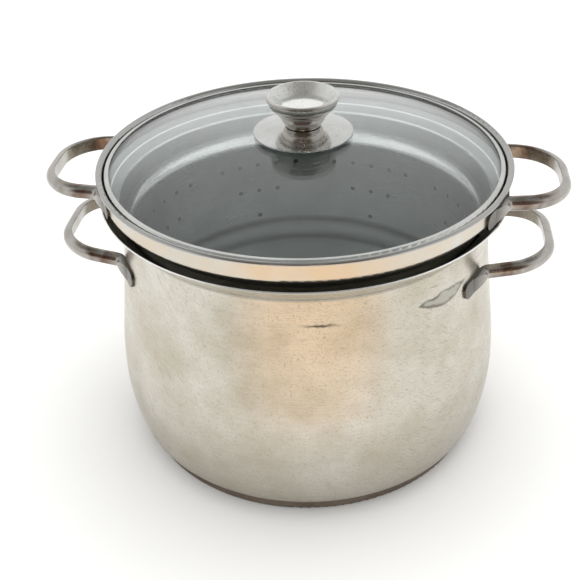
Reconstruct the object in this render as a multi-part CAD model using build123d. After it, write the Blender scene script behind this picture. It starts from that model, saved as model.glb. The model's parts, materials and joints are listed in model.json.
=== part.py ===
from build123d import *
from math import acos, atan2, cos, degrees, radians, sin, sqrt, tan
import os

# A bellied stainless steamer pot, a perforated basket that hangs in its mouth, and a domed
# glass lid with a screwed steel knob. The origin is the centre of the face that the pot
# stands on, +Z is up, and both pairs of handles lie along X. Lengths in millimetres.

# One radius sets the width of the whole pot, and its other walls are steps from it
mouth_r = 121.0

# Pot
base_height = 7.0
base_reach = 2.2
cap_wall = 0.6
cap_edge_r = 1.6
pot_wall = 0.8
pot_floor_inset = 13.6
pot_corner_r = 8.0
belly_reach = 10.4
belly_z = 50.0
lean_r = 240.0
crease_z = 154.0
crease_bend_r = 2.0
pot_lip_reach = 2.3

# Basket
basket_wall = 0.7
band_height = 10.2
band_inset = 8.4
band_bend_r = 2.5
crease_inset = 1.9
neck_bend_r = 2.0
taper_height = 4.6
shoulder_inset = 6.8
shoulder_bend_r = 12.0
basket_depth = 112.0
basket_corner_r = 12.0
basket_flare_r = 1.9
basket_curl_r = 0.5
basket_lip_flat = 0.1

# Basket holes
hole_r = 1.75
hole_groups = 8
hole_row_counts = (5, 3, 1)
hole_row_drop = 15.8
hole_row_rise = 3.6
floor_hole_pitch = 12.0
hole_ring_counts = (6, 12, 18, 24)

# Handles, one pattern used four times
strap_height = 8.5
strap_depth = 5.5
strap_edge_r = 0.9
handle_corner_r = 25.0
handle_knee_r = 7.5
foot_height = 9.8
foot_wall = 1.6
foot_sink = 0.2
basket_gap_half = 32.3
basket_handle_reach = 31.0
basket_handle_rise = 1.2
pot_gap_half = 34.5
pot_handle_reach = 33.6
pot_handle_z = 130.5

# Turns in degrees
quarter_turn = 90
half_turn = 180
full_turn = 360
flare_turn = 45
taper_turn = 16
shoulder_turn = 30
lip_curl_turn = 110
hole_pitch_turn = 7.5
hole_first_turn = 24
splay_turn = 7
foot_turn = 11
ramp_turn = 8

# Lid glass and rim
glass_wall = 4.0
glass_rise = 17.5
glass_hole_r = 5.0
rim_wall = 0.6
rim_height = 11.7
rim_flange = 3.0
rim_edge_r = 1.4
ledge_wall = 0.6

# Knob and its fixing
plate_r = 29.5
plate_wall = 0.8
plate_rise = 4.1
plate_lift = 1.2
knob_foot_r = 10.6
knob_foot_height = 0.4
knob_head_r = 21.3
knob_height = 18.3
belly_mid_r = 12.8
belly_mid_height = 3.4
belly_top_r = 13.9
belly_top_height = 6.6
ring_step = 0.6
ring_lift = 0.3
low_ring_r = 15.9
low_ring_height = 9.0
high_ring_r = 20.6
high_ring_height = 15.9
knob_rim_edge_r = 0.6
knob_wall = 0.8
dish_depth = 6.6
dish_floor_r = 16.0
button_r = 12.2
button_height = 1.2
button_crown = 0.9
dimple_r = 0.9
dimple_depth = 0.4
boss_r = 5.6
screw_r = 2.5
screw_reach = 8.0
screw_head_r = 4.7
screw_head_height = 2.8
drive_width = 1.1
drive_length = 5.4
drive_depth = 1.5
washer_r = 8.6
washer_wall = 1.0
gasket_r = 9.6
gasket_wall = 1.8
sleeve_wall = 1.6

# Clearances, and the overrun of every cut
seat_gap = 0.3
lid_gap = 0.7
fit_gap = 0.05
glass_edge_gap = 0.7
overrun = 2.0


def turned(face):
    """Solid of revolution from a face drawn as radius across and height up."""
    return revolve(Plane.XZ * face, Axis.Z)


def disc_ring(inner_r, outer_r, low_z, high_z):
    """Plain ring or, with no inner radius, a plain disc."""
    middle = Pos((inner_r + outer_r) / 2, (low_z + high_z) / 2)
    return turned(middle * Rectangle(outer_r - inner_r, high_z - low_z))


def sheet(edges, wall):
    """Turned sheet metal: its outer side follows the edges, and its wall lies on their left."""
    outline = offset(Wire(edges), amount=wall, side=Side.LEFT)
    return turned(make_face(outline))


def bent(corners, bends):
    """Edges through a row of corner points, each inner corner rounded by its own bend radius."""
    edges = []
    start = Vector(*corners[0])
    for low, corner, high, bend in zip(corners, corners[1:], corners[2:], bends):
        before = (Vector(*corner) - Vector(*low)).normalized()
        after = (Vector(*high) - Vector(*corner)).normalized()
        turn = atan2(before.cross(after).Z, before.dot(after))
        arc_start = Vector(*corner) - before * (bend * tan(abs(turn) / 2))
        arc = JernArc(start=arc_start, tangent=before, radius=bend, arc_size=degrees(turn))
        edges += [Line(start, arc_start), arc]
        start = arc @ 1
    return edges + [Line(start, corners[-1])]


def roll(start, flare_r, curl_r, flat):
    """Lip of a sheet: it flares to level, runs out by flat, and curls down over its own edge."""
    flare = JernArc(start=start, tangent=(0, 1), radius=flare_r, arc_size=-quarter_turn)
    ledge = Line(flare @ 1, (flare @ 1) + Vector(flat, 0))
    curl = JernArc(start=ledge @ 1, tangent=(1, 0), radius=curl_r, arc_size=-lip_curl_turn)
    return [flare, ledge, curl]


def dome_z(r, apex, radius):
    """Height at r of a dome with this apex and radius."""
    return apex - radius + sqrt(radius**2 - r**2)


def dome_shell(inner_r, outer_r, apex, radius, wall):
    """Part of a spherical dome between two upright edges, its wall measured down from the apex."""
    middle_r = (inner_r + outer_r) / 2
    top = [(r, dome_z(r, apex, radius)) for r in (inner_r, middle_r, outer_r)]
    under = [(r, dome_z(r, apex - wall, radius - wall)) for r in (inner_r, middle_r, outer_r)]
    edges = [
        ThreePointArc(*top),
        Line(top[2], under[2]),
        ThreePointArc(*under),
        Line(under[0], top[0]),
    ]
    return turned(make_face(edges))


# Places that follow from the driving dimensions
slope = radians(flare_turn)
taper = radians(taper_turn)
basket_neck_r = mouth_r - band_inset
basket_low_r = basket_neck_r - shoulder_inset
crease_r = basket_neck_r - crease_inset
belly_r = crease_r + belly_reach
pot_floor_r = belly_r - pot_floor_inset
base_r = pot_floor_r + base_reach
pot_lip_r = mouth_r + pot_lip_reach

crease_run = crease_r - belly_r + lean_r
crease_rise = crease_z - belly_z
lean = atan2(crease_rise, crease_run) - acos(lean_r / sqrt(crease_run**2 + crease_rise**2))
lean_low = (belly_r - lean_r * (1 - cos(lean)), belly_z + lean_r * sin(lean))

# The basket's tapered wall passes the pot's rounded crease by the seat gap
crease_setback = crease_bend_r * tan((slope + lean) / 2)
crease_mid_r = crease_r + crease_setback * sin(lean) + crease_bend_r * cos(lean)
crease_mid_z = crease_z - crease_setback * cos(lean) + crease_bend_r * sin(lean)
seat_reach = crease_bend_r + pot_wall + seat_gap
seat_r = crease_mid_r - seat_reach * cos(taper)
seat_z = crease_mid_z + seat_reach * sin(taper)
cone_low_z = seat_z + (basket_neck_r - seat_r) / tan(taper)
shoulder_z = seat_z - taper_height
shoulder_r = seat_r - taper_height * tan(taper)
shoulder_low_z = shoulder_z - (shoulder_r - basket_low_r) / tan(radians(shoulder_turn))
band_corner_z = cone_low_z + band_inset / tan(slope)
band_low_z = band_corner_z + band_bend_r * tan(slope / 2)
band_top_z = band_corner_z + band_height
basket_lip_z = band_top_z + basket_flare_r + basket_wall
basket_floor_z = basket_lip_z - basket_depth

rim_r = mouth_r - basket_wall - lid_gap
bend_inside_r = band_bend_r - basket_wall
seat_dip = sqrt(bend_inside_r**2 - (rim_r - mouth_r + band_bend_r) ** 2)
rim_low_z = band_low_z - seat_dip + seat_gap
rim_top_z = rim_low_z + rim_height
glass_r = rim_r - rim_wall - glass_edge_gap
glass_radius = (glass_r**2 + glass_rise**2) / (2 * glass_rise)
flange_rise = glass_radius - sqrt(glass_radius**2 - (rim_r - rim_flange) ** 2)
glass_apex_z = rim_top_z - rim_wall - fit_gap + flange_rise
glass_under_z = glass_apex_z - glass_wall
under_radius = glass_radius - glass_wall

plate_radius = (plate_r**2 + plate_rise**2) / (2 * plate_rise)
plate_edge_z = dome_z(plate_r, glass_apex_z, glass_radius) + plate_lift
plate_apex_z = plate_edge_z + plate_rise + plate_wall
knob_z = plate_apex_z + fit_gap
knob_top_z = knob_z + knob_height
dish_z = knob_top_z - dish_depth
gasket_low_z = glass_under_z - gasket_wall
washer_top_z = gasket_low_z - fit_gap
screw_head_z = washer_top_z - washer_wall - fit_gap
screw_bore_r = screw_r + fit_gap
bush_bore_r = boss_r + fit_gap


def pot_body():
    """Drawn shell: flat floor, tight corner, low belly, leaning neck, and a flared mouth."""
    corner_z = base_height + pot_corner_r
    bulge = belly_r - pot_floor_r
    rise = belly_z - corner_z
    side_r = (bulge**2 + rise**2 - pot_corner_r**2) / (2 * (bulge - pot_corner_r))
    reach = sqrt((side_r - bulge) ** 2 + rise**2)
    join = (
        pot_floor_r + pot_corner_r * (side_r - bulge) / reach,
        corner_z - pot_corner_r * rise / reach,
    )
    belly = (belly_r, belly_z)
    crease = (crease_r, crease_z)
    lip = (pot_lip_r, crease_z + (pot_lip_r - crease_r) / tan(slope))
    floor = Line((0, base_height), (pot_floor_r, base_height))
    corner = TangentArc(floor @ 1, join, tangent=(1, 0))
    side = TangentArc(belly, join, tangent=(0, -1))
    upper = TangentArc(belly, lean_low, tangent=(0, 1))
    mouth = bent([lean_low, crease, lip], [crease_bend_r])
    return sheet([floor, corner, side, upper] + mouth, pot_wall)


def neck_fill():
    """Solid neck of the pot with a clearance round it, which cuts the feet of its handles."""
    clear = fit_gap / cos(lean)
    outline = Polyline(
        (0, lean_low[1]),
        (lean_low[0] + clear, lean_low[1]),
        (crease_r + clear, crease_z),
        (0, crease_z),
        close=True,
    )
    return turned(make_face(outline))


def base_cap():
    """Steel cup that closes the base: its flat face is what the pot stands on."""
    floor = Line((0, 0), (base_r - cap_edge_r, 0))
    corner = JernArc(start=floor @ 1, tangent=(1, 0), radius=cap_edge_r, arc_size=quarter_turn)
    wall = Line(corner @ 1, (base_r, base_height))
    return sheet([floor, corner, wall], cap_wall)


def base_core():
    """Aluminium heat-spreading disc between the cap and the pot's floor."""
    core = disc_ring(0, base_r - cap_wall - fit_gap, cap_wall, base_height)
    low_edge = core.edges().sort_by(Axis.Z)[0]
    return fillet(low_edge, cap_edge_r - cap_wall + fit_gap)


def wall_holes(drill):
    """Drills through the basket's wall: eight groups, each five, three and one wide downwards."""
    high_row_z = shoulder_low_z - hole_row_drop
    low_row_z = basket_floor_z + basket_corner_r + hole_row_rise
    row_step = (high_row_z - low_row_z) / (len(hole_row_counts) - 1)
    level = Pos(basket_low_r - basket_wall / 2, 0, 0) * Rot(0, quarter_turn, 0) * drill
    drills = []
    for group in range(hole_groups):
        group_turn = hole_first_turn + group * full_turn / hole_groups
        for row, count in enumerate(hole_row_counts):
            for place in range(count):
                turn = group_turn + (place - (count - 1) / 2) * hole_pitch_turn
                drills.append(Rot(0, 0, turn) * Pos(0, 0, high_row_z - row * row_step) * level)
    return drills


def floor_holes(drill):
    """Drills through the basket's floor: one in the middle and rings round it."""
    upright = Pos(0, 0, basket_floor_z + basket_wall / 2) * drill
    drills = [upright]
    for ring, count in enumerate(hole_ring_counts, start=1):
        for place in range(count):
            turn = (place + ring / 2) * full_turn / count
            drills.append(Rot(0, 0, turn) * Pos(ring * floor_hole_pitch, 0, 0) * upright)
    return drills


def steamer_basket():
    """Drawn basket: perforated lower wall, shoulder, tapered seat, cone, band and rolled lip."""
    floor = Line((0, basket_floor_z), (basket_low_r - basket_corner_r, basket_floor_z))
    corner = JernArc(
        start=floor @ 1, tangent=(1, 0), radius=basket_corner_r, arc_size=quarter_turn
    )
    wall_low = corner @ 1
    band_top = (mouth_r, band_top_z)
    corners = [
        (wall_low.X, wall_low.Y),
        (basket_low_r, shoulder_low_z),
        (shoulder_r, shoulder_z),
        (basket_neck_r, cone_low_z),
        (mouth_r, band_corner_z),
        band_top,
    ]
    bends = [shoulder_bend_r, shoulder_bend_r, neck_bend_r, band_bend_r]
    edges = [floor, corner] + bent(corners, bends)
    edges += roll(band_top, basket_flare_r, basket_curl_r, basket_lip_flat)
    drill = Cylinder(hole_r, basket_wall + 2 * overrun)
    return sheet(edges, basket_wall) - (wall_holes(drill) + floor_holes(drill))


def strap_handle(wall_r, reach, gap_half):
    """One bent D-section strap: two feet along the wall, two knees, two arms and the grip.

    It is drawn round the Z axis at height zero, on the +X side, with its flat face on the
    path. The flat face lies on the wall at the feet, and the convex face looks outwards.
    The arms spread by the splay turn from the grip to the wall.
    """
    splay = radians(splay_turn)
    along_arm = Vector(cos(splay), -sin(splay), 0)
    off_arm = Vector(sin(splay), cos(splay), 0)
    grip_u = wall_r + reach
    corner_u = grip_u - handle_corner_r
    corner_v = gap_half - handle_corner_r
    arm_out = Vector(corner_u, corner_v, 0) + off_arm * handle_corner_r
    knee_off = arm_out.dot(off_arm) + handle_knee_r
    knee_along = sqrt((wall_r + handle_knee_r) ** 2 - knee_off**2)
    knee = off_arm * knee_off + along_arm * knee_along
    arm_in = knee - off_arm * handle_knee_r
    knee_turn = degrees(atan2(knee.Y, knee.X))
    tip_turn = knee_turn + foot_turn
    knee_sweep = knee_turn + splay_turn - quarter_turn
    corner_sweep = quarter_turn - splay_turn

    tip_low = (wall_r * cos(radians(-tip_turn)), wall_r * sin(radians(-tip_turn)))
    foot_low = CenterArc((0, 0), wall_r, -tip_turn, foot_turn)
    knee_low = CenterArc((knee.X, -knee.Y), handle_knee_r, half_turn - knee_turn, knee_sweep)
    arm_low = Line((arm_in.X, -arm_in.Y), (arm_out.X, -arm_out.Y))
    corner_low = CenterArc((corner_u, -corner_v), handle_corner_r, -corner_sweep, corner_sweep)
    grip = Line((grip_u, -corner_v), (grip_u, corner_v))
    corner_high = CenterArc((corner_u, corner_v), handle_corner_r, 0, corner_sweep)
    arm_high = Line((arm_out.X, arm_out.Y), (arm_in.X, arm_in.Y))
    knee_start = -quarter_turn - splay_turn
    knee_high = CenterArc((knee.X, knee.Y), handle_knee_r, knee_start, knee_sweep)
    foot_high = CenterArc((0, 0), wall_r, knee_turn, foot_turn)
    low_half = [foot_low, knee_low, arm_low, corner_low]
    path = Wire(low_half + [grip, corner_high, arm_high, knee_high, foot_high])

    start = Vector(tip_low[0], tip_low[1], 0)
    along = Vector(sin(radians(tip_turn)), cos(radians(tip_turn)), 0)
    outward = Vector(cos(radians(tip_turn)), -sin(radians(tip_turn)), 0)
    section_plane = Plane(origin=start, x_dir=outward, z_dir=along)
    flat = Line((0, -strap_height / 2), (0, strap_height / 2))
    crown = ThreePointArc(flat @ 1, (strap_depth, 0), flat @ 0)
    section = make_face([flat, crown])
    section = fillet(section.vertices(), strap_edge_r)
    bar = sweep(section_plane * section, path=path)

    feet = []
    for side in (1, -1):
        # The strap is ground down to a ramp along each foot, and a thin rounded pad carries it
        ramp_start = radians(side * knee_turn)
        ramp_end = radians(side * (knee_turn + ramp_turn))
        high = Vector(cos(ramp_start), sin(ramp_start)) * (wall_r + strap_depth)
        low = Vector(cos(ramp_end), sin(ramp_end)) * (wall_r + foot_wall / 2)
        slant = (low - high).normalized()
        grind_length = 2 * (low - high).length
        grind_depth = strap_depth + overrun
        grind = Box(grind_length, grind_depth, strap_height + 2 * overrun)
        grind = Pos(grind_length / 2, -side * grind_depth / 2, 0) * grind
        bar = bar - Plane(origin=high, x_dir=slant, z_dir=(0, 0, 1)) * grind

        pad_turn = radians(knee_turn + foot_turn / 2)
        pad_length = 2 * wall_r * sin(radians(foot_turn / 2))
        pad_plane = Plane(
            origin=(0, 0, 0),
            x_dir=(-side * sin(pad_turn), cos(pad_turn), 0),
            z_dir=(cos(pad_turn), side * sin(pad_turn), 0),
        )
        outline = RectangleRounded(pad_length, foot_height, foot_height / 2 - strap_edge_r)
        prism = extrude(pad_plane * outline, wall_r + strap_depth)
        pad_low_r = wall_r - foot_sink
        feet.append(prism & disc_ring(pad_low_r, wall_r + foot_wall, -foot_height, foot_height))
    return bar + feet[0] + feet[1]


def lid_rim():
    """Steel band folded over the glass edge, with a skirt that stands in the basket's mouth."""
    skirt = Line((rim_r, rim_low_z), (rim_r, rim_top_z - rim_edge_r))
    fold = JernArc(start=skirt @ 1, tangent=(0, 1), radius=rim_edge_r, arc_size=quarter_turn)
    flange = Line(fold @ 1, (rim_r - rim_flange, rim_top_z))
    band = sheet([skirt, fold, flange], rim_wall)
    ledge_top = dome_z(glass_r, glass_under_z, under_radius) - fit_gap
    ledge = disc_ring(rim_r - rim_flange, rim_r - rim_wall / 2, ledge_top - ledge_wall, ledge_top)
    return band + ledge


def knob_body():
    """Spun knob shell: narrow foot, bellied cup, two stepped rings and a plain rim."""
    foot = (knob_foot_r, knob_z)
    cup_low = (knob_foot_r, knob_z + knob_foot_height)
    cup_middle = (belly_mid_r, knob_z + belly_mid_height)
    cup_top = (belly_top_r, knob_z + belly_top_height)
    cup = ThreePointArc(cup_low, cup_middle, cup_top)
    edges = [Line(foot, cup_low), cup]
    rings = ((low_ring_r, low_ring_height), (high_ring_r, high_ring_height))
    below = cup_top
    for ring_r, ring_height in rings:
        # A small step outwards, then a rounded ring that ends upright
        step = (below[0] + ring_step, below[1] + ring_lift)
        ring = (ring_r, knob_z + ring_height)
        edges += [Line(below, step), TangentArc(ring, step, tangent=(0, -1))]
        below = ring
    rim = (knob_head_r, below[1] + ring_lift)
    edge_start = (knob_head_r, knob_top_z - knob_rim_edge_r)
    rim_edge = JernArc(
        start=edge_start, tangent=(0, 1), radius=knob_rim_edge_r, arc_size=quarter_turn
    )
    inside = [
        (knob_head_r - knob_wall, knob_top_z),
        (knob_head_r - knob_wall, knob_top_z - knob_wall),
        (dish_floor_r + knob_wall, dish_z - knob_wall),
        (dish_floor_r, dish_z - knob_wall),
        (knob_foot_r - knob_wall, knob_z + knob_foot_height + knob_wall),
        (knob_foot_r - knob_wall, knob_z + knob_wall),
        (bush_bore_r, knob_z + knob_wall),
        (bush_bore_r, knob_z),
    ]
    edges += [Line(below, rim), Line(rim, edge_start), rim_edge, Line(rim_edge @ 1, inside[0])]
    edges += [Line(a, b) for a, b in zip(inside, inside[1:])]
    edges += [Line(inside[-1], foot)]
    return turned(make_face(edges))


def knob_dish():
    """Brushed dish pressed into the knob's mouth: a steep cone down to a flat floor."""
    dish_edge_r = knob_head_r - knob_wall - fit_gap
    outline = Polyline(
        (bush_bore_r, dish_z - knob_wall),
        (dish_floor_r, dish_z - knob_wall),
        (dish_edge_r, knob_top_z - knob_wall),
        (dish_edge_r, knob_top_z),
        (dish_edge_r - knob_wall, knob_top_z),
        (dish_floor_r - knob_wall, dish_z),
        (bush_bore_r, dish_z),
        close=True,
    )
    return turned(make_face(outline))


def knob_button():
    """Polished cap on the dish's floor, with a small turned dimple in its middle."""
    low_z = dish_z + fit_gap
    side_z = low_z + button_height
    top_z = side_z + button_crown
    crown_side = (button_r / 2, side_z + button_crown * 3 / 4)
    crown = ThreePointArc((button_r, side_z), crown_side, (0, top_z))
    edges = [
        Line((0, low_z), (button_r, low_z)),
        Line((button_r, low_z), (button_r, side_z)),
        crown,
        Line((0, top_z), (0, low_z)),
    ]
    dimple = Pos(0, 0, top_z) * Cone(0, dimple_r, dimple_depth * 2)
    return turned(make_face(edges)) - dimple


def knob_boss():
    """Threaded bush inside the knob, tapped from below for the screw."""
    return disc_ring(screw_bore_r, boss_r, knob_z, dish_z)


def knob_screw():
    """Pan head screw from under the lid, with a cross drive."""
    face_z = screw_head_z - screw_head_height
    head = disc_ring(0, screw_head_r, face_z, screw_head_z)
    low_edge = head.edges().sort_by(Axis.Z)[0]
    head = fillet(low_edge, screw_head_height / 2)
    shank = disc_ring(0, screw_r, screw_head_z, knob_z + screw_reach)
    slot = Pos(0, 0, face_z) * Box(drive_length, drive_width, drive_depth * 2)
    return head + shank - slot - Rot(0, 0, quarter_turn) * slot


def lower_gasket():
    """Silicone washer under the glass, with a sleeve that lines the hole."""
    top_z = dome_z(gasket_r, glass_under_z, under_radius) - fit_gap
    ring = disc_ring(screw_bore_r, gasket_r, gasket_low_z, top_z)
    sleeve = disc_ring(screw_bore_r, screw_bore_r + sleeve_wall, gasket_low_z, glass_apex_z)
    return ring + sleeve


def screw_washer():
    """Steel washer between the screw's head and the silicone."""
    return disc_ring(screw_bore_r, washer_r, washer_top_z - washer_wall, washer_top_z)


def upper_gasket():
    """Silicone washer between the glass and the knob's plate."""
    top_z = dome_z(gasket_r, plate_apex_z - plate_wall, plate_radius) - fit_gap
    return disc_ring(screw_bore_r, gasket_r, glass_apex_z + fit_gap, top_z)


def lid_glass():
    """Domed glass disc with one central hole."""
    return dome_shell(glass_hole_r, glass_r, glass_apex_z, glass_radius, glass_wall)


def knob_plate():
    """Dished steel plate between the knob and the glass, wider than the knob."""
    return dome_shell(screw_bore_r, plate_r, plate_apex_z, plate_radius + plate_wall, plate_wall)


def placed_strap(wall_r, reach, gap_half, mid_z, rise_turn):
    """Right handle at one height, tilted up from the wall, its feet sunk a little into it."""
    sunk_r = wall_r - foot_sink
    strap = Pos(-sunk_r, 0, 0) * strap_handle(sunk_r, reach, gap_half)
    return Pos(sunk_r, 0, mid_z) * Rot(0, -rise_turn, 0) * strap


# The pot's handles stand square to its leaning neck, the basket's square to its upright band,
# and the walls themselves cut the feet
neck_r = crease_r + (crease_z - pot_handle_z) * tan(lean)
pot_strap = placed_strap(neck_r, pot_handle_reach, pot_gap_half, pot_handle_z, degrees(lean))
pot_right = pot_strap - neck_fill()
foot_mid_z = band_low_z + basket_handle_rise
basket_strap = placed_strap(mouth_r, basket_handle_reach, basket_gap_half, foot_mid_z, 0)
band_fill = disc_ring(0, mouth_r + fit_gap, foot_mid_z - foot_height, foot_mid_z + foot_height)
basket_right = basket_strap - band_fill
other_side = Rot(0, 0, half_turn)

nodes = {
    "pot_body": pot_body(),
    "base_core": base_core(),
    "base_cap": base_cap(),
    "pot_handle_left": other_side * pot_right,
    "pot_handle_right": pot_right,
    "steamer_basket": steamer_basket(),
    "basket_handle_left": other_side * basket_right,
    "basket_handle_right": basket_right,
    "lid_glass": lid_glass(),
    "lid_rim": lid_rim(),
    "knob_plate": knob_plate(),
    "upper_gasket": upper_gasket(),
    "lower_gasket": lower_gasket(),
    "screw_washer": screw_washer(),
    "knob_screw": knob_screw(),
    "knob_body": knob_body(),
    "knob_dish": knob_dish(),
    "knob_button": knob_button(),
    "knob_boss": knob_boss(),
}

os.makedirs("parts", exist_ok=True)
for name, shape in nodes.items():
    export_step(shape, "parts/" + name + ".step")
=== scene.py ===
import json
import math

import bmesh
import bpy
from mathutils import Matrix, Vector

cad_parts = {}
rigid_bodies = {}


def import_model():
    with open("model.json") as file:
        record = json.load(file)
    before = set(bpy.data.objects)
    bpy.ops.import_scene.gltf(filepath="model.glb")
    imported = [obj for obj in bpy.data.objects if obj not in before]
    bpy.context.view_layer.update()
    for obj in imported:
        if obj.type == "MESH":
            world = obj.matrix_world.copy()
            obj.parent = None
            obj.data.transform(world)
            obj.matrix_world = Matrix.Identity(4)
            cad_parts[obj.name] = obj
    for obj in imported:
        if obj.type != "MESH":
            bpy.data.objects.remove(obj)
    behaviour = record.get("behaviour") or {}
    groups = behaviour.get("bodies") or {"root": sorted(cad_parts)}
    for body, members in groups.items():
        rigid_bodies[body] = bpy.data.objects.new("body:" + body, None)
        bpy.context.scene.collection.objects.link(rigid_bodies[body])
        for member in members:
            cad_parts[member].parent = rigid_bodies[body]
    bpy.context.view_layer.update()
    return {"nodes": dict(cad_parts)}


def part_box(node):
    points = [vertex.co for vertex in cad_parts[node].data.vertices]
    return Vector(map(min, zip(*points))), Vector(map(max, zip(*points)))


# Start
# The new file's own objects are cleared away, and the pot's solids take their places.
for leftover in list(bpy.data.objects):
    bpy.data.objects.remove(leftover)
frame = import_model()

# Camera
# A 62 mm lens a little over 0.7 m away, looking down into the pot from the front, slightly
# to the right of it, and turned by about a degree.
camera = bpy.data.objects.new("camera", bpy.data.cameras.new("camera"))
camera.data.sensor_width = 36
camera.data.lens = 62.07
camera.location = (0.05515, -0.54299, 0.44783)
camera.rotation_euler = [math.radians(turn) for turn in (56.599, 1.4966, 5.9463)]
bpy.context.scene.collection.objects.link(camera)
bpy.context.scene.camera = camera
bpy.context.scene.view_settings.view_transform = "Standard"

# Paper floor
# A sheet of white matt paper with a faint fibre grain, large enough to fill the picture. It
# only catches the soft shadow at the foot of the pot.
MM = 0.001
paper_width = 8.0
paper_gap = 0.2 * MM
fibre_size = 1.2 * MM


def linear(hex_colour):
    """Linear colour of an sRGB hex value."""
    parts = [int(hex_colour[place : place + 2], 16) / 255 for place in (1, 3, 5)]
    return [c / 12.92 if c <= 0.04045 else ((c + 0.055) / 1.055) ** 2.4 for c in parts] + [1]


def add(tree, kind, settings, links, output=0):
    """Adds one node and gives one of its outputs.

    Settings are the node's properties and the values of its sockets, and links are the
    outputs that its other sockets read.
    """
    node = tree.nodes.new("ShaderNode" + kind)
    for key, value in settings.items():
        if isinstance(key, str) and hasattr(node, key):
            setattr(node, key, value)
        else:
            node.inputs[key].default_value = value
    for key, source in links.items():
        tree.links.new(source, node.inputs[key])
    return node.outputs[output]


def blank(name):
    """A new material without a surface, its tree, and the socket that takes the surface."""
    material = bpy.data.materials.new(name)
    material.use_nodes = True
    tree = material.node_tree
    tree.nodes.clear()
    return material, tree, tree.nodes.new("ShaderNodeOutputMaterial").inputs[0]


def sheet(name, size, material):
    """A flat oblong of scenery, centred on the origin."""
    bm = bmesh.new()
    bmesh.ops.create_grid(bm, x_segments=1, y_segments=1, size=0.5)
    bmesh.ops.scale(bm, vec=(size[0], size[1], 1), verts=bm.verts)
    mesh = bpy.data.meshes.new(name)
    bm.to_mesh(mesh)
    bm.free()
    mesh.materials.append(material)
    obj = bpy.data.objects.new(name, mesh)
    bpy.context.scene.collection.objects.link(obj)
    return obj


# Uncoated paper is flat white and has no shine. Its fibres are far finer than a pixel, so they
# are drawn as flecks of 1.2 mm
paper, tree, surface = blank("uncoated white paper")
place = add(tree, "TexCoord", {}, {}, "Object")
fibre = add(tree, "TexNoise", {"Scale": 1 / fibre_size, "Detail": 2.0}, {0: place})
# The two ends of a colour mix are its sockets 6 and 7, and the mixed colour is its output 2
whites = {"data_type": "RGBA", 6: linear("#f7f7f5"), 7: linear("#fcfcfb")}
tone = add(tree, "Mix", whites, {0: fibre}, 2)
tree.links.new(add(tree, "BsdfPrincipled", {"Roughness": 0.9}, {"Base Color": tone}), surface)
sheet("floor", (paper_width, paper_width), paper).location.z = -paper_gap


# Room and light
# Soft daylight from all round with one large lamp overhead and two small lights in front. A
# dim room, its lit floor and its ceiling stand as plain cards that only the steel mirrors.
def card(name, colour, strength, size, place, tilt):
    """A glowing card of one colour with soft edges, seen in mirrors and nowhere else."""
    material, tree, surface = blank(name)
    spot = add(tree, "TexCoord", {}, {}, "Object")
    halves = {"operation": "DIVIDE", 1: (size[0] / 2, size[1] / 2, 1.0)}
    spot = add(tree, "VectorMath", halves, {0: spot})
    away = add(tree, "VectorMath", {"operation": "LENGTH"}, {0: spot}, "Value")
    fade = {"From Min": 1.0, "From Max": 0.55, "interpolation_type": "SMOOTHSTEP"}
    shown = add(tree, "MapRange", fade, {0: away})
    glow = add(tree, "Emission", {"Color": linear(colour), "Strength": strength}, {})
    gone = add(tree, "BsdfTransparent", {}, {})
    tree.links.new(add(tree, "MixShader", {}, {0: shown, 1: gone, 2: glow}), surface)
    obj = sheet(name, size, material)
    obj.location = place
    obj.rotation_euler.x = math.radians(tilt)
    obj.visible_camera = False
    obj.visible_diffuse = False
    obj.visible_shadow = False
    obj.visible_transmission = False


card("room card", "#7a675b", 1.0, size=(6.0, 5.2), place=(0.1, -1.9, 1.5), tilt=90)
card("room floor card", "#6a5040", 1.0, size=(3.0, 1.2), place=(0.1, -1.6, 0.002), tilt=0)
card("warm card", "#ffe7cc", 1.35, size=(0.95, 0.8), place=(0.1, -0.58, 0.003), tilt=0)
card("ceiling card", "#a9adac", 1.0, size=(5.0, 4.0), place=(0, -0.2, 2.0), tilt=0)

world = bpy.data.worlds.new("studio")
bpy.context.scene.world = world
world.use_nodes = True
tree = world.node_tree
tree.nodes.clear()
sky = add(tree, "Background", {"Color": linear("#ffffff"), "Strength": 1.0}, {})
tree.links.new(sky, tree.nodes.new("ShaderNodeOutputWorld").inputs[0])


def lamp(name, watts, width, place, mirrored):
    """A soft square lamp that points at the pot, and that steel and glass may mirror or not."""
    data = bpy.data.lights.new(name, "AREA")
    data.energy = watts
    data.size = width
    obj = bpy.data.objects.new(name, data)
    obj.location = place
    aim = Vector((0, 0, 0.1)) - Vector(place)
    obj.rotation_euler = aim.to_track_quat("-Z", "Y").to_euler()
    obj.visible_glossy = mirrored
    obj.visible_transmission = mirrored
    bpy.context.scene.collection.objects.link(obj)


lamp("overhead lamp", watts=9.0, width=1.2, place=(0.1, 0.2, 1.6), mirrored=False)
lamp("left spot", watts=0.3, width=0.06, place=(-0.25, -1.55, 0.45), mirrored=True)
lamp("right spot", watts=0.3, width=0.06, place=(0.3, -1.55, 0.45), mirrored=True)

# Pot body
# A stainless shell, drawn from sheet and turned to a satin finish, with a plain flared lip over
# a pressed crease. It has been used for years: clouds and scratches all over, a leaf-shaped
# water mark on the right and a dark nick in front. A painted highlight brightens the lip, and
# painted shade darkens the crease, the lower wall and the inside under the basket.
nodes = frame["nodes"]
pot_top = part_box("pot_body")[1].z
pot_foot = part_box("pot_body")[0].z
lip_z = pot_top - 1.8 * MM
crease_z = pot_top - 13.7 * MM
film_top_z = crease_z - 1.5 * MM
lower_shade_top_z, lower_shade_full_z = pot_foot + 68.0 * MM, pot_foot + 1.0 * MM
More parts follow.
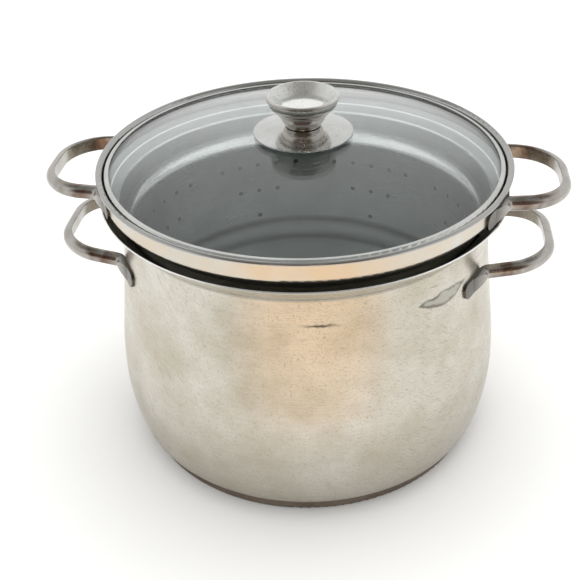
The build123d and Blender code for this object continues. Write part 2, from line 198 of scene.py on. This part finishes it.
# Marks are placed by their distance round the wall from its front line and by their height.
# The leaf is where two large circles, each a height and a radius, overlap, and so is flat
# above and bellied below
neck_r = 113.0 * MM
leaf_around = 95.2 * MM
leaf_circles = ((33.7 * MM, 106.0 * MM), (168.5 * MM, 37.0 * MM))
leaf_soft = 0.4 * MM
ragged_size, ragged_reach = 7.0 * MM, 5.0 * MM
# Each of these is two limits and the softness of the edge at both
leaf_line = (-1.3 * MM, 0.1 * MM, 0.5 * MM)
nick_around = (11.0 * MM, 26.0 * MM, 5.0 * MM)
nick_height = (137.7 * MM, 139.2 * MM, 0.6 * MM)
crease_line = (crease_z - 0.5 * MM, crease_z + 0.5 * MM, 0.5 * MM)


def find_place(tree):
    """A point's place, the three parts of that, and the point's distance from the Z axis."""
    place = add(tree, "TexCoord", {}, {}, "Object")
    parts = add(tree, "SeparateXYZ", {}, {0: place}).node.outputs
    level = add(tree, "CombineXYZ", {}, {0: parts[0], 1: parts[1]})
    radius = add(tree, "VectorMath", {"operation": "LENGTH"}, {0: level}, "Value")
    return place, parts, radius


def worn_metal(name, light, dark, rough, uneven, ring_mm, depth_mm, cloud_mm, worn=1.0):
    """Metal polished round the Z axis: fine rings, cloudy handling marks and scratches.

    The clouds go from light to dark. Rough is the mean roughness, and uneven is how far the
    rings and clouds move it. Worn is the strength of the scratches.
    """
    ring_run = 25.0 * MM
    radius_share = 1.37
    scratch_size = (14.0 * MM, 0.6 * MM, 0.6 * MM)
    scratch_soil, scratch_dull, scratch_depth = 0.42 * worn, 0.2 * worn, 0.6 * worn
    material, tree, surface = blank(name)
    place, parts, radius = find_place(tree)
    # The rings follow the height on a wall and the radius on a disc, and slowly die out and
    # begin again on their way round
    outwards = {"operation": "MULTIPLY_ADD", 1: radius_share}
    rise = add(tree, "Math", outwards, {0: radius, 2: parts[2]})
    ringwise = add(tree, "CombineXYZ", {}, {0: parts[0], 1: parts[1], 2: rise})
    pitch = (1 / ring_run, 1 / ring_run, 1 / (ring_mm * MM))
    ringwise = add(tree, "Mapping", {"Scale": pitch}, {0: ringwise})
    rings = add(tree, "TexNoise", {"Scale": 1.0, "Detail": 3.0, "Roughness": 0.6}, {0: ringwise})
    cloud_look = {"Scale": 1 / (cloud_mm * MM), "Detail": 4.0, "Roughness": 0.62}
    clouds = add(tree, "TexNoise", cloud_look, {0: place})
    clouds = add(tree, "MapRange", {"From Min": 0.3, "From Max": 0.7}, {0: clouds})
    # Three families of straight scratches cross the rings. Real ones are a few hundredths of a
    # millimetre wide, and these are drawn 0.6 mm wide to show
    families = []
    for turn in ((0.4, 0.7, 0.7), (0.2, -0.9, 2.3), (0.1, 0.2, 0.8)):
        slanted = {"vector_type": "TEXTURE", "Rotation": turn, "Scale": scratch_size}
        tilted = add(tree, "Mapping", slanted, {0: place})
        streaks = add(tree, "TexNoise", {"Scale": 1.0, "Detail": 1.0}, {0: tilted})
        families.append(add(tree, "MapRange", {"From Min": 0.65, "From Max": 0.72}, {0: streaks}))
    scratches = add(tree, "Math", {"operation": "MAXIMUM"}, {0: families[0], 1: families[1]})
    scratches = add(tree, "Math", {"operation": "MAXIMUM"}, {0: scratches, 1: families[2]})
    tones = {"data_type": "RGBA", 6: linear(dark), 7: linear(light)}
    tone = add(tree, "Mix", tones, {0: clouds}, 2)
    soiled = add(tree, "Math", {"operation": "MULTIPLY", 1: scratch_soil}, {0: scratches})
    soil = {"data_type": "RGBA", 7: linear("#8d877c")}
    tone = add(tree, "Mix", soil, {0: soiled, 6: tone}, 2)
    # Rings and scratches dull the polish, and under a light cloud it is brighter
    gloss = {"From Min": 0.3, "From Max": 0.7, "To Min": rough - uneven, "To Max": rough + uneven}
    dull = add(tree, "MapRange", gloss, {0: rings})
    clearer = {"operation": "MULTIPLY_ADD", 1: -uneven}
    dull = add(tree, "Math", clearer, {0: clouds, 2: dull})
    scuffed = {"operation": "MULTIPLY_ADD", "use_clamp": True, 1: scratch_dull}
    dull = add(tree, "Math", scuffed, {0: scratches, 2: dull})
    sunk = {"operation": "MULTIPLY_ADD", 1: -scratch_depth}
    relief = add(tree, "Math", sunk, {0: scratches, 2: rings})
    normal = add(tree, "Bump", {"Distance": depth_mm * MM}, {"Height": relief})
    links = {"Base Color": tone, "Roughness": dull, "Normal": normal}
    tree.links.new(add(tree, "BsdfPrincipled", {"Metallic": 1.0}, links), surface)
    return material


def stain_and_painted_light(material, mask, colour, strength, rougher, film=0.0):
    """Lays one colour over a finished metal wherever the mask is on, for real stains and for
    painted light and shade.

    Rougher is what it adds to the roughness. Film is how much of the metal's shine it hides,
    for a stain that has a body of its own.
    """
    tree = material.node_tree
    shader = [node for node in tree.nodes if node.type == "BSDF_PRINCIPLED"][0]
    base, dull = shader.inputs["Base Color"], shader.inputs["Roughness"]
    cover = add(tree, "Math", {"operation": "MULTIPLY", 1: strength}, {0: mask})
    tones = {"data_type": "RGBA", 7: linear(colour)}
    tone = add(tree, "Mix", tones, {0: cover, 6: base.links[0].from_socket}, 2)
    tree.links.new(tone, base)
    more = {"operation": "MULTIPLY_ADD", "use_clamp": True, 1: rougher}
    tree.links.new(add(tree, "Math", more, {0: cover, 2: dull.links[0].from_socket}), dull)
    if film:
        bare = add(tree, "Math", {"operation": "MULTIPLY_ADD", 1: -film, 2: 1.0}, {0: cover})
        tree.links.new(bare, shader.inputs["Metallic"])


def between(tree, value, low, high, soft):
    """Mask that is on while a value lies between two limits, with soft edges."""
    up = {"From Min": low - soft, "From Max": low + soft}
    down = {"From Min": high - soft, "From Max": high + soft, "To Min": 1.0, "To Max": 0.0}
    rising = add(tree, "MapRange", up, {0: value})
    falling = add(tree, "MapRange", down, {0: value})
    return add(tree, "Math", {"operation": "MULTIPLY"}, {0: rising, 1: falling})


def faces_axis(tree, parts):
    """Mask that is on where a surface lies level or faces the Z axis, as inside a pot."""
    # A face that leans outwards by less than 3 degrees still counts as level
    level_reach = 5.0 * MM
    level = add(tree, "CombineXYZ", {}, {0: parts[0], 1: parts[1]})
    facing = add(tree, "NewGeometry", {}, {}, "True Normal")
    away = add(tree, "VectorMath", {"operation": "DOT_PRODUCT"}, {0: facing, 1: level}, "Value")
    return add(tree, "Math", {"operation": "LESS_THAN", 1: level_reach}, {0: away})


def dress(material, *names):
    """Gives CAD nodes their finish."""
    for name in names:
        mesh = nodes[name].data
        for slot in range(len(mesh.materials)):
            mesh.materials[slot] = material


# Satin-turned stainless is a warm grey with soft, blurred mirrors that rings round the pot draw
# out. Real rings are under 0.1 mm apart, and these are drawn 0.5 mm apart to show
pot_steel = worn_metal(
    "satin-turned stainless steel",
    light="#d3cfc6",
    dark="#bab3a3",
    rough=0.31,
    uneven=0.06,
    ring_mm=0.5,
    depth_mm=0.012,
    cloud_mm=42.0,
)
tree = pot_steel.node_tree
place, parts, _ = find_place(tree)
backwards = add(tree, "Math", {"operation": "MULTIPLY", 1: -1.0}, {0: parts[1]})
turn = add(tree, "Math", {"operation": "ARCTAN2"}, {0: parts[0], 1: backwards})
around = add(tree, "Math", {"operation": "MULTIPLY", 1: neck_r}, {0: turn})
# A small noise makes the marks' edges ragged
ragged = add(tree, "TexNoise", {"Scale": 1 / ragged_size, "Detail": 3.0}, {0: place})
swing = {"operation": "MULTIPLY_ADD", 1: ragged_reach, 2: -ragged_reach / 2}
drift = add(tree, "Math", swing, {0: ragged})
unrolled = add(tree, "CombineXYZ", {}, {0: around, 1: parts[2]})
overshoots = []
for centre_z, circle_r in leaf_circles:
    centre = {"operation": "DISTANCE", 1: (leaf_around, centre_z, 0)}
    away = add(tree, "VectorMath", centre, {0: unrolled}, "Value")
    past_circle = {"operation": "SUBTRACT", 1: circle_r}
    overshoots.append(add(tree, "Math", past_circle, {0: away}))
past_leaf = add(tree, "Math", {"operation": "MAXIMUM"}, {0: overshoots[0], 1: overshoots[1]})
past_leaf = add(tree, "Math", {"operation": "ADD"}, {0: past_leaf, 1: drift})
leaf = add(tree, "MapRange", {"From Min": leaf_soft, "From Max": -leaf_soft}, {0: past_leaf})
outline = between(tree, past_leaf, *leaf_line)
gaps = add(tree, "MapRange", {"From Min": 0.25, "From Max": 0.55}, {0: ragged})
outline = add(tree, "Math", {"operation": "MULTIPLY"}, {0: outline, 1: gaps})
stain_and_painted_light(pot_steel, leaf, "#a3a299", strength=0.75, rougher=0.0)
stain_and_painted_light(pot_steel, outline, "#7b766c", strength=1.0, rougher=0.08)
# The nick is a dark line 15 mm long that fades out at both ends
ragged_height = add(tree, "Math", {"operation": "ADD"}, {0: parts[2], 1: drift})
nick = between(tree, around, *nick_around)
thin = between(tree, ragged_height, *nick_height)
nick = add(tree, "Math", {"operation": "MULTIPLY"}, {0: nick, 1: thin})
stain_and_painted_light(pot_steel, nick, "#5c574e", strength=1.0, rougher=0.1)
# Rubbing has polished the lip, and a painted highlight makes it near white; the crease below it
# is painted dark as painted shade
lip = add(tree, "Math", {"operation": "GREATER_THAN", 1: lip_z}, {0: parts[2]})
stain_and_painted_light(pot_steel, lip, "#fbfaf8", strength=0.8, rougher=-0.06)
crease = between(tree, parts[2], *crease_line)
stain_and_painted_light(pot_steel, crease, "#7f796f", strength=0.5, rougher=0.05)
# The lower wall is painted darker towards the bottom: painted shade of the shadowed paper that it
# mirrors
downwards = {"From Min": lower_shade_top_z, "From Max": lower_shade_full_z}
lower_wall_shade = add(tree, "MapRange", downwards, {0: parts[2]})
stain_and_painted_light(pot_steel, lower_wall_shade, "#978d7e", strength=0.45, rougher=0.03)
# Inside, below the crease, the wall carries a dark, dull, less metallic film: painted shade of
# the closed space under the basket
below = add(tree, "Math", {"operation": "LESS_THAN", 1: film_top_z}, {0: parts[2]})
inner_shade_film = add(tree, "Math", {"operation": "MULTIPLY"}, {0: faces_axis(tree, parts), 1: below})
stain_and_painted_light(pot_steel, inner_shade_film, "#84878a", strength=1.0, rougher=0.15, film=0.6)
dress(pot_steel, "pot_body")

# Base
# The foot of the pot: a rolled aluminium disc that spreads the heat, bonded under the floor
# and closed in by a thin pressed steel cup. Only the cup shows, browned by the hob.

# Heated steel is a dull brown, too rough to mirror more than light and dark
cap_steel = worn_metal(
    "pressed steel browned by heat",
    light="#887c71",
    dark="#6e6358",
    rough=0.38,
    uneven=0.06,
    ring_mm=0.5,
    depth_mm=0.006,
    cloud_mm=20.0,
)
dress(cap_steel, "base_cap")

# Rolled aluminium is a paler and flatter grey than steel
core_metal = worn_metal(
    "rolled aluminium",
    light="#b9b9b8",
    dark="#a9a9a8",
    rough=0.4,
    uneven=0.05,
    ring_mm=0.4,
    depth_mm=0.004,
    cloud_mm=15.0,
)
dress(core_metal, "base_core")

# Handles
# Straps of D-shaped steel bar, bent to a loop, polished all over and rubbed by hands. Their
# flattened feet are spot-welded to the walls of pot and basket. The arms beside the feet carry
# a painted brown reflection of the room, and the feet are painted darker and duller.
brown_start, brown_end, brown_soft = 7.0 * MM, 25.0 * MM, 5.0 * MM
brown_size = 9.0 * MM
foot_end, foot_dark = 5.0 * MM, 1.0 * MM
for owner in ("pot", "basket"):
    # The inner corner of a handle's box lies on the wall that its foot is welded to
    low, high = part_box(owner + "_handle_right")
    wall_r = math.hypot(low.x, high.y)
    # Polished bar mirrors the light in a narrow line along its rounded side. Its polishing
    # lines run along the bar, which goes round the Z axis as the walls do
    strap_steel = worn_metal(
        "polished steel strap of the " + owner,
        light="#bab7b2",
        dark="#a39f99",
        rough=0.24,
        uneven=0.04,
        ring_mm=1.5,
        depth_mm=0.004,
        cloud_mm=12.0,
        worn=0.5,
    )
    tree = strap_steel.node_tree
    place, _, radius = find_place(tree)
    # The arms near the feet carry a painted brown reflection of the room, in blotches, on a
    # smoother polish
    painted_room_reflection = between(tree, radius, wall_r + brown_start, wall_r + brown_end, brown_soft)
    blotches = add(tree, "TexNoise", {"Scale": 1 / brown_size, "Detail": 2.0}, {0: place})
    blotches = add(tree, "MapRange", {"From Min": 0.3, "From Max": 0.6}, {0: blotches})
    painted_room_reflection = add(tree, "Math", {"operation": "MULTIPLY"}, {0: painted_room_reflection, 1: blotches})
    stain_and_painted_light(strap_steel, painted_room_reflection, "#6a5042", strength=0.85, rougher=-0.06)
    # The feet are painted darker and duller, fading out 5 mm from the wall
    inwards = {"From Min": wall_r + foot_end, "From Max": wall_r + foot_dark}
    darkened_feet = add(tree, "MapRange", inwards, {0: radius})
    stain_and_painted_light(strap_steel, darkened_feet, "#5a5752", strength=0.9, rougher=0.1)
    dress(strap_steel, owner + "_handle_left", owner + "_handle_right")

# Steamer basket
# Drawn from thin stainless sheet, with punched holes and a rolled lip that hangs in the pot's
# mouth, satin inside. Painted highlights brighten the shoulder and bends inside, a painted warm
# reflection lies on the band outside, the lip carries a darker painted reflection, and painted
# shade darkens the mouth inside, the floor and its corner.
basket_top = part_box("steamer_basket")[1].z
basket_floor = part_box("steamer_basket")[0].z
# Heights above the floor, and depths below the top of the lip
floor_shade_end, floor_shade_full = 9.0 * MM, -1.0 * MM
corner_shade_end, corner_shade_full = 13.0 * MM, 9.0 * MM
lip_end, lip_full = 1.8 * MM, 1.0 * MM
blotch_size = 22.0 * MM
cone_r, outside_r = 120.0 * MM, 120.6 * MM
# Each of these is two limits and the softness of the edge at both
corner_shade_ring = (92.0 * MM, 120.0 * MM, 3.0 * MM)
mouth_depth = (1.0 * MM, 31.5 * MM, 1.0 * MM)
band_depth = (2.4 * MM, 20.0 * MM, 0.3 * MM)
shoulder_depth = (33.5 * MM, 40.5 * MM, 1.6 * MM)
bend_depths = (
    (41.4 * MM, 42.6 * MM, 0.4 * MM),
    (20.6 * MM, 21.8 * MM, 0.3 * MM),
    (16.2 * MM, 16.8 * MM, 0.2 * MM),
)
# Finely satined stainless sheet is a cool even grey, with mirrors so soft that only the bends
# show as lines
basket_steel = worn_metal(
    "fine satin stainless steel",
    light="#d6d9d8",
    dark="#c4c8c6",
    rough=0.3,
    uneven=0.02,
    ring_mm=0.5,
    depth_mm=0.0006,
    cloud_mm=40.0,
    worn=0.25,
)
tree = basket_steel.node_tree
place, parts, radius = find_place(tree)
height = add(tree, "Math", {"operation": "SUBTRACT", 1: basket_floor}, {0: parts[2]})
depth = add(tree, "Math", {"operation": "SUBTRACT", 0: basket_top}, {1: parts[2]})
# The floor and the wall's lowest 9 mm are painted darker: painted shade at the bottom of the
# basket
basket_floor_shade = add(tree, "MapRange", {"From Min": floor_shade_end, "From Max": floor_shade_full}, {0: height})
stain_and_painted_light(basket_steel, basket_floor_shade, "#757a78", strength=1.0, rougher=0.05)
# The corner round the floor is painted darker still as painted shade
corner = between(tree, radius, *corner_shade_ring)
low_part = add(tree, "MapRange", {"From Min": corner_shade_end, "From Max": corner_shade_full}, {0: height})
corner_shade = add(tree, "Math", {"operation": "MULTIPLY"}, {0: corner, 1: low_part})
stain_and_painted_light(basket_steel, corner_shade, "#3f4342", strength=0.75, rougher=0.1)
# Inside, the mouth is painted darker than the wall as painted shade, and the shoulder and bends
# carry painted highlights
inner = faces_axis(tree, parts)
mouth = between(tree, depth, *mouth_depth)
mouth = add(tree, "Math", {"operation": "MULTIPLY"}, {0: mouth, 1: inner})
stain_and_painted_light(basket_steel, mouth, "#8b9190", strength=0.7, rougher=0.0)
shoulder_and_bend_highlights = between(tree, depth, *shoulder_depth)
for bend_depth in bend_depths:
    bend = between(tree, depth, *bend_depth)
    shoulder_and_bend_highlights = add(tree, "Math", {"operation": "MAXIMUM"}, {0: shoulder_and_bend_highlights, 1: bend})
shoulder_and_bend_highlights = add(tree, "Math", {"operation": "MULTIPLY"}, {0: shoulder_and_bend_highlights, 1: inner})
stain_and_painted_light(basket_steel, shoulder_and_bend_highlights, "#ffffff", strength=0.9, rougher=-0.05)
# The band outside carries a painted warm reflection in blotches
outside = add(tree, "MapRange", {"From Min": cone_r, "From Max": outside_r}, {0: radius})
warm_band_reflection = between(tree, depth, *band_depth)
warm_band_reflection = add(tree, "Math", {"operation": "MULTIPLY"}, {0: warm_band_reflection, 1: outside})
blotches = add(tree, "TexNoise", {"Scale": 1 / blotch_size, "Detail": 4.0}, {0: place})
blotches = add(tree, "MapRange", {"From Min": 0.2, "From Max": 0.6}, {0: blotches})
warm_band_reflection = add(tree, "Math", {"operation": "MULTIPLY"}, {0: warm_band_reflection, 1: blotches})
stain_and_painted_light(basket_steel, warm_band_reflection, "#d3c8b7", strength=1.0, rougher=0.04)
# The rolled lip is painted a darker grey on a smoother polish: a painted reflection
lip = add(tree, "MapRange", {"From Min": lip_end, "From Max": lip_full}, {0: depth})
stain_and_painted_light(basket_steel, lip, "#a9a8a5", strength=1.0, rougher=-0.08)
dress(basket_steel, "steamer_basket")

# Lid glass
# A domed pane of toughened soda-lime glass, pressed to shape and held round its edge by the
# rim. It has a faint green tint and the broad marks of a wiping cloth.
smear_size = 35.0 * MM
# Toughened glass is clear, sharply mirrors what is bright, and lets light through to the
# basket, so shadow rays only pick up its tint
glass, tree, surface = blank("toughened soda-lime glass")
place = add(tree, "TexCoord", {}, {}, "Object")
smears = add(tree, "TexNoise", {"Scale": 1 / smear_size, "Detail": 5.0}, {0: place})
smears = add(tree, "MapRange", {"From Min": 0.4, "From Max": 0.7}, {0: smears})
tints = {"data_type": "RGBA", 6: linear("#fcfefe"), 7: linear("#f1f6f4")}
tone = add(tree, "Mix", tints, {0: smears}, 2)
clear_look = {"Roughness": 0.0, "IOR": 1.5, "Transmission Weight": 1.0}
pane = add(tree, "BsdfPrincipled", clear_look, {"Base Color": tone})
shadow_tint = add(tree, "BsdfTransparent", {"Color": linear("#eef2f1")}, {})
shadow_ray = add(tree, "LightPath", {}, {}, "Is Shadow Ray")
tree.links.new(add(tree, "MixShader", {}, {0: shadow_ray, 1: pane, 2: shadow_tint}), surface)
dress(glass, "lid_glass")

# Lid rim
# A thin stainless band, rolled to a ring, polished, and folded over the edge of the glass so
# that it stands in the basket's mouth.

# Polished sheet mirrors the room, slightly blurred
rim_steel = worn_metal(
    "polished stainless band",
    light="#cdcdca",
    dark="#bebeba",
    rough=0.2,
    uneven=0.03,
    ring_mm=0.4,
    depth_mm=0.001,
    cloud_mm=20.0,
    worn=0.2,
)
dress(rim_steel, "lid_rim")

# Knob plate
# A shallow dish pressed from steel sheet, clamped between the knob and the glass to spread
# the screw's pull.

# Its polish has worn softer than the knob's, so it mirrors the knob with blurred edges
plate_steel = worn_metal(
    "worn polished steel plate",
    light="#cfcfcd",
    dark="#bfbfbc",
    rough=0.17,
    uneven=0.03,
    ring_mm=0.3,
    depth_mm=0.001,
    cloud_mm=15.0,
)
dress(plate_steel, "knob_plate")

# Knob
# A steel shell spun with two stepped rings and polished outside, a brushed dish pressed into
# its mouth, and a small cap pressed on the dish's floor.

# Mirror-polished steel shows the room sharply, in thin lines along each step
knob_steel = worn_metal(
    "mirror-polished steel shell",
    light="#d0cdc8",
    dark="#c4c0ba",
    rough=0.08,
    uneven=0.02,
    ring_mm=0.3,
    depth_mm=0.001,
    cloud_mm=10.0,
)
dress(knob_steel, "knob_body")

# Brushed steel is pale and flat and mirrors nothing
dish_steel = worn_metal(
    "brushed steel dish",
    light="#f1f2f0",
    dark="#e4e5e2",
    rough=0.55,
    uneven=0.06,
    ring_mm=0.25,
    depth_mm=0.004,
    cloud_mm=8.0,
)
dress(dish_steel, "knob_dish")

# Polished sheet that lies flat mirrors the light above it, and a painted highlight makes it
# nearly white
cap_painted_bright = worn_metal(
    "polished steel cap painted bright",
    light="#f4f4f2",
    dark="#ededea",
    rough=0.16,
    uneven=0.03,
    ring_mm=0.3,
    depth_mm=0.001,
    cloud_mm=8.0,
)
dress(cap_painted_bright, "knob_button")

# Screw and gaskets
# A zinc-plated steel screw with its washer and bush holds the knob through the glass. Moulded
# silicone washers above and below keep the steel off the glass.
bloom_size = 2.0 * MM
# Zinc plate is a plain grey with a soft shine
plain_steel = worn_metal(
    "zinc-plated steel",
    light="#b5b4b0",
    dark="#a3a19c",
    rough=0.3,
    uneven=0.05,
    ring_mm=0.3,
    depth_mm=0.002,
    cloud_mm=6.0,
)
dress(plain_steel, "screw_washer", "knob_screw", "knob_boss")

# Silicone is a milky grey with a waxy bloom, drawn in flecks of 2 mm to show
rubber, tree, surface = blank("moulded silicone")
place = add(tree, "TexCoord", {}, {}, "Object")
bloom = add(tree, "TexNoise", {"Scale": 1 / bloom_size, "Detail": 3.0}, {0: place})
greys = {"data_type": "RGBA", 6: linear("#a9a9a3"), 7: linear("#bcbcb6")}
tone = add(tree, "Mix", greys, {0: bloom}, 2)
tree.links.new(add(tree, "BsdfPrincipled", {"Roughness": 0.55}, {"Base Color": tone}), surface)
dress(rubber, "upper_gasket", "lower_gasket")
